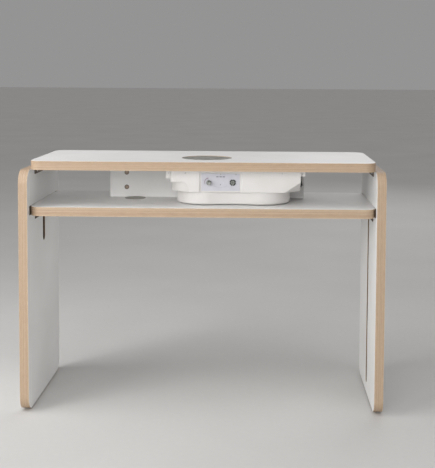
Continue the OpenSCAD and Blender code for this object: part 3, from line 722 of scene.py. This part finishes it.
def screw_wells():
    """Cutters for the heads of the housing's screws, up through the ears."""
    bottom = housing_high.z - LEFT_EAR_H - OVER
    for points in islands("housing_screws"):
        low, high = points_box(points)
        middle = (low + high) / 2
        yield rod((middle.x, middle.y, bottom), UP, (high.x - low.x) / 2,
                  low.z + SCREW_HEAD_H["housing_screws"] - bottom)


def housing_openings():
    """Cutters for every hole in the housing's walls and ears."""
    floor_low, floor_high = housing_low.z - OVER, housing_low.z + WALL + OVER
    inlet_low, inlet_high = box_of("power_inlet")
    rocker_low, rocker_high = box_of("rocker_frame")
    return joined(
        upright_hole("filter_mat", INTAKE_R, housing_high.z - WALL - OVER,
                     housing_high.z + OVER),
        upright_hole("filter_mat", TRAY_OPENING_R, floor_low, floor_high),
        upright_hole("fan_motor", MOTOR_OPENING_R, floor_low, floor_high),
        block((*EXHAUST_PORT_LOW, floor_low), (*EXHAUST_PORT_HIGH, floor_high)),
        wall_window("exhaust_grille", GRILLE_RIM, WALL + OVER),
        control_bore("potentiometer", BUSHING_R),
        control_bore("socket_body"),
        control_bore("indicator_lamp"),
        block((inlet_low.x - OVER, inlet_low.y + INLET_RIM, inlet_low.z + INLET_RIM),
              (inlet_low.x + WALL + 2 * OVER, inlet_high.y - INLET_RIM,
               inlet_high.z - INLET_RIM)),
        block((rocker_low.x, rocker_low.y + ROCKER_RIM_Y, rocker_low.z + ROCKER_RIM_Z),
              (rocker_high.x, rocker_high.y - ROCKER_RIM_Y, rocker_high.z - ROCKER_RIM_Z)),
        *screw_wells(),
    )


def housing():
    low, high = housing_low, housing_high
    form = housing_body(0)
    for y in (low.y + EAR_SETBACK, high.y - EAR_D):
        # Each ear reaches 1 mm into the wall it joins
        form = combined(form, "UNION", joined(
            block((low.x, y, high.z - LEFT_EAR_H), (low.x + EAR_W + 1, y + EAR_D, high.z)),
            block((high.x - EAR_W - 1, y, high.z - RIGHT_EAR_H), (high.x, y + EAR_D, high.z)),
        ))
    round_edges(form, EDGE_ROUND, 2, 25)
    form = combined(form, "DIFFERENCE", housing_body(WALL))
    return combined(form, "DIFFERENCE", housing_openings())


add_piece("extractor_housing_finished", housing(), SHELL, ["extractor_housing"], angle=30)


# ---- Extractor: lower tray ----

WAIST_HALF = 82  # from the middle line to the waist's narrowest point
LOBE_STEPS, WAIST_STEPS = 56, 16
TRAY_EDGE_R, TRAY_LIP = 7.0, 0.4


def tray_outline(inset, level, box):
    """The outline round both lobes, whose waist is two concave arcs that touch them."""
    low, high = box
    lobe_r = (high.y - low.y) / 2
    half_pitch = (high.x - low.x) / 2 - lobe_r
    middle = (low + high) / 2
    waist_r = (half_pitch ** 2 + WAIST_HALF ** 2 - lobe_r ** 2) / (2 * (lobe_r - WAIST_HALF))
    waist_y = WAIST_HALF + waist_r
    touch = math.atan2(waist_y, half_pitch)
    arcs = (
        (half_pitch, 0, lobe_r - inset, touch - math.pi, math.pi - touch, LOBE_STEPS),
        (0, waist_y, waist_r + inset, 2 * math.pi - touch, math.pi + touch, WAIST_STEPS),
        (-half_pitch, 0, lobe_r - inset, touch, 2 * math.pi - touch, LOBE_STEPS),
        (0, -waist_y, waist_r + inset, math.pi - touch, touch, WAIST_STEPS),
    )
    points = []
    for x, y, r, start, end, count in arcs:
        for step in range(count):
            angle = start + (end - start) * step / count
            points.append(Vector((middle.x + x + r * math.cos(angle),
                                  middle.y + y + r * math.sin(angle), level)))
    return points


def tray():
    box = box_of("extractor_tray")
    base, top, edge_r, lip = box[0].z, box[1].z, TRAY_EDGE_R, TRAY_LIP
    profile = [(edge_r * (1 - math.sin(a)), base + edge_r * (1 - math.cos(a)))
               for a in [math.pi / 2 * step / 7 for step in range(8)]]
    profile += [(0, top - 1.4), (lip, top - 1.0), (lip, top), (WALL, top),
                (WALL, base + edge_r), (edge_r, base + WALL)]
    return loft([tray_outline(inset, level, box) for inset, level in profile])


add_piece("extractor_tray_finished", tray(), SHELL, ["extractor_tray"], angle=30)


# ---- Controls ----

def control_spot(node):
    """The middle of a control's front face."""
    low, high = box_of(node)
    return Vector(((low.x + high.x) / 2, low.y, (low.z + high.z) / 2))


def turned_control(node, shape):
    """Points a turned shape to the front, with its start at the back of the CAD node."""
    low, high = box_of(node)
    middle = (low + high) / 2
    return placed(shape, (middle.x, high.y, middle.z), FRONT)


def girth(node):
    """The radius and the length of a round CAD node that points to the front."""
    low, high = box_of(node)
    return (high.x - low.x) / 2, high.y - low.y


RIDGES, RIDGE_SHARE = 30, 0.022
POINTER_W, POINTER_T, POINTER_PROUD, POINTER_FROM, POINTER_TO = 0.9, 0.5, 0.05, 2.0, 6.2


def knob():
    radius, length = girth("speed_knob")
    side = radius * 0.95

    def knurl(angle):
        return 1 + RIDGE_SHARE * math.cos(RIDGES * angle)

    shape = lathe([
        (radius * 0.6, 0), (radius - 0.4, 0), (radius, 0.4), (radius, 1.8), (radius - 0.5, 2.3),
        (side, 2.4, knurl), (side, length - 1.2, knurl), (side - 0.3, length - 0.8),
        (side - 1.0, length - 0.1), (side - 1.5, length), (side - 2.0, length - 0.35),
        (1.0, length - 0.45),
    ], RIDGES * 6)
    return turned_control("speed_knob", shape)


add_piece("speed_knob_finished", knob(), KNOB_METAL, ["speed_knob"], angle=40)
knob_face = control_spot("speed_knob")
pointer = block((-POINTER_W / 2, 0, POINTER_FROM), (POINTER_W / 2, POINTER_T, POINTER_TO))
round_edges(pointer, 0.15, 1)
add_piece("knob_pointer", placed(pointer, knob_face - Vector((0, POINTER_PROUD, 0))), BLACK,
          body="knob", slot="black_plastic")


NUT_SLOTS, NUT_SLOT_SHARE, NUT_SLOT_EDGE = 4, 0.84, 0.86


def socket_nut():
    """A ring nut with slots round its rim for a pin spanner."""
    radius, thick = girth("socket_ring")
    bore = girth("socket_body")[0]

    def slotted(angle):
        return NUT_SLOT_SHARE if math.cos(NUT_SLOTS * angle) > NUT_SLOT_EDGE else 1

    shape = lathe([
        (bore, 0), (radius, 0, slotted), (radius, thick - 0.6, slotted),
        (radius - 0.6, thick, slotted), (bore + 0.5, thick), (bore, thick - 0.5),
    ], 96, wrap=True)
    return turned_control("socket_ring", shape)


SOCKET_BORE_R, SOCKET_BORE_L = 2.75, 12


def socket_core():
    radius, length = girth("socket_body")
    bore_r = SOCKET_BORE_R
    shape = lathe([
        (radius - 0.3, 0), (radius, 0.3), (radius, length - 0.5), (radius - 0.5, length),
        (bore_r + 1.4, length), (bore_r + 1.0, length - 0.5), (bore_r + 0.3, length - 0.5),
        (bore_r, length - 0.9), (bore_r, length - SOCKET_BORE_L),
    ])
    return turned_control("socket_body", shape)


add_piece("socket_ring_finished", socket_nut(), BLACK, ["socket_ring"], angle=40)
add_piece("socket_body_finished", socket_core(), KNOB_METAL, ["socket_body"], slot="zinc_steel")


DOME_H = 0.6


def lamp():
    radius, length = girth("indicator_lamp")
    dome = [(radius * math.cos(a), length - DOME_H + DOME_H * math.sin(a))
            for a in [math.pi / 2 * step / 5 for step in range(5)]]
    return turned_control("indicator_lamp", lathe([(radius, 0), *dome, (0.1, length)], 32))


add_piece("indicator_lamp_finished", lamp(), LAMP, ["indicator_lamp"])


# ---- Plain printed marks on the fascia, as thin raised ink ----

INK_T = 0.15
SCALE_REACH, SCALE_FROM, SCALE_TO, SCALE_W, SCALE_GROWTH = 13.4, 205, 98, 1.2, 2.0
BARS_IN, BAR_PITCH, BAR_HALF_W, BAR_TOP, BAR_H = 58.7, 9.7, 3.6, 8.3, 2.6
SMILE_R, SMILE_LIFT, SMILE_W, SMILE_FROM, SMILE_TO = 44, 36, 0.6, 242, 298
ink_y = fascia_low.y


def band(x, z, reach, width, start, end, count=28):
    """A curved mark round a centre. width is a function of the share along it."""
    outer, inner = [], []
    for step in range(count + 1):
        share = step / count
        angle = math.radians(start + (end - start) * share)
        for row, side in ((outer, 0.5), (inner, -0.5)):
            r = reach + side * width(share)
            row.append((x + r * math.cos(angle), ink_y, z + r * math.sin(angle)))
    return plate(outer + inner[::-1], (0, -INK_T, 0))


scale_marks = band(knob_face.x, knob_face.z, SCALE_REACH,
                   lambda share: SCALE_W + SCALE_GROWTH * share, SCALE_FROM, SCALE_TO)
add_piece("scale_arc", scale_marks, SCALE_INK, body="table", slot="fascia_film")
bar_top = fascia_high.z - BAR_TOP
bars = joined(*[
    block((x - BAR_HALF_W, ink_y - INK_T, bar_top - BAR_H), (x + BAR_HALF_W, ink_y, bar_top))
    for x in [fascia_low.x + BARS_IN + BAR_PITCH * i for i in (-1, 0, 1)]
])
add_piece("label_bars", bars, INK_DARK, body="table", slot="fascia_film")
lamp_spot = control_spot("indicator_lamp")
smile = band(lamp_spot.x, lamp_spot.z + SMILE_LIFT, SMILE_R, lambda share: SMILE_W,
             SMILE_FROM, SMILE_TO)
add_piece("label_arc", smile, INK_PALE, body="table", slot="fascia_film")


# ---- Small fixings along the top of the housing's front and on the fascia ----

EAR_FIXING_IN, LEFT_FIXING_IN, RIGHT_FIXING_IN, FASCIA_FIXING_IN = 9, 61, 71, 11
FIXING_R, FIXING_DOME = 1.9, 0.7
ear_y = housing_low.y + EAR_SETBACK
fixing_spots = [
    (housing_low.x + EAR_FIXING_IN, ear_y, housing_high.z - 12.5),
    (housing_low.x + LEFT_FIXING_IN, housing_low.y, housing_high.z - 11.5),
    (housing_high.x - RIGHT_FIXING_IN, housing_low.y, housing_high.z - 11.5),
    (housing_high.x - EAR_FIXING_IN, ear_y, housing_high.z - 13.5),
    (fascia_high.x - FASCIA_FIXING_IN, ink_y, fascia_high.z - 2),
    (fascia_low.x + BARS_IN + 0.3, ink_y, fascia_high.z - 2),
]


def fixing():
    """A small domed head with a dimple."""
    return lathe([(FIXING_R, -0.3), (FIXING_R, 0.3), (FIXING_R - 0.4, FIXING_DOME - 0.1),
                  (0.5, FIXING_DOME), (0.4, FIXING_DOME - 0.3)], 24)


add_piece("housing_fixings", joined(*[placed(fixing(), spot, FRONT) for spot in fixing_spots]),
          ZINC, body="table", slot="zinc_steel")


# ---- Stage, light and camera ----

FLOOR_REACH = 60


def stage():
    f = Finish("pale_floor", Specular_IOR_Level=0.25)
    patches = f.noise(1.4, 4)
    grit = f.noise(60, 3)
    colour = f.mix(f.spread(patches, 0.0, 1.0), srgb(207, 206, 204), srgb(201, 200, 198))
    material = f.bump(grit, 0.0004).done(colour, f.spread(grit, 0.55, 0.75))
    bm = bmesh.new()
    bmesh.ops.create_grid(bm, x_segments=1, y_segments=1, size=FLOOR_REACH)
    mesh = bpy.data.meshes.new("floor")
    bm.to_mesh(mesh)
    bm.free()
    mesh.materials.append(material)
    in_scene("floor", mesh)


def facing(direction):
    return Vector(direction).to_track_quat("-Z", "Y").to_euler()


def area_light(name, at, target, size, power, colour=(1.0, 1.0, 1.0)):
    """A square light of a size in metres and a power in watts, which points at a target."""
    light = bpy.data.lights.new(name, "AREA")
    light.shape, light.size, light.energy, light.color = "SQUARE", size, power, colour
    panel = in_scene(name, light)
    panel.location = at
    panel.rotation_euler = facing(Vector(target) - Vector(at))


def surroundings():
    """Even grey surroundings, soft panels round the table and a soft sky."""
    world = bpy.data.worlds.new("studio")
    bpy.context.scene.world = world
    world.use_nodes = True
    background = world.node_tree.nodes["Background"]
    background.inputs["Color"].default_value = srgb(149, 148, 148)
    background.inputs["Strength"].default_value = 1.0
    area_light("key", (-2.35, -2.1, 1.4), (-0.3, 0, 0.7), 1.4, 39, (1.0, 0.995, 0.988))
    area_light("window", (-1.8, -0.6, 2.3), (-0.45, 0, 0.75), 1.4, 27)
    area_light("front", (-0.8, -3.6, 1.45), (-0.1, 0, 0.66), 1.6, 39, (1.0, 0.998, 0.995))
    area_light("right", (2.3, -2.4, 0.9), (0.0, 0, 0.65), 1.6, 14)
    area_light("back", (1.6, 4.6, 3.0), (0, 0, 0.6), 2.6, 34)
    sky = bpy.data.lights.new("sky", "SUN")
    sky.energy, sky.angle = 0.36, math.radians(50)
    in_scene("sky", sky).rotation_euler = facing((-0.12, 0.42, -0.9))


CAMERA_AT = (0.1706, -3.096, 1.0359)
CAMERA_YAW, CAMERA_PITCH, CAMERA_ROLL = (math.radians(a) for a in (-0.848, 3.966, 0.371))
LENS, SENSOR_W = 74.6, 36  # millimetres
SHIFT_X, SHIFT_Y = -0.0589, -0.2009


def camera():
    """The viewpoint, fitted to the table's straight edges."""
    yaw, pitch, roll = CAMERA_YAW, CAMERA_PITCH, CAMERA_ROLL
    ahead = Vector((math.sin(yaw) * math.cos(pitch), math.cos(yaw) * math.cos(pitch),
                    -math.sin(pitch)))
    level = Vector((math.cos(yaw), -math.sin(yaw), 0))
    upright = level.cross(ahead)
    across = level * math.cos(roll) + upright * math.sin(roll)
    up = upright * math.cos(roll) - level * math.sin(roll)
    data = bpy.data.cameras.new("camera")
    data.lens, data.sensor_width = LENS, SENSOR_W
    data.shift_x, data.shift_y = SHIFT_X, SHIFT_Y
    data.clip_end = 200
    made = in_scene("camera", data)
    turned = Matrix((across, up, -ahead)).transposed().to_4x4()
    made.matrix_world = Matrix.Translation(CAMERA_AT) @ turned
    bpy.context.scene.camera = made


stage()
surroundings()
camera()
bpy.context.scene.view_settings.view_transform = "Standard"
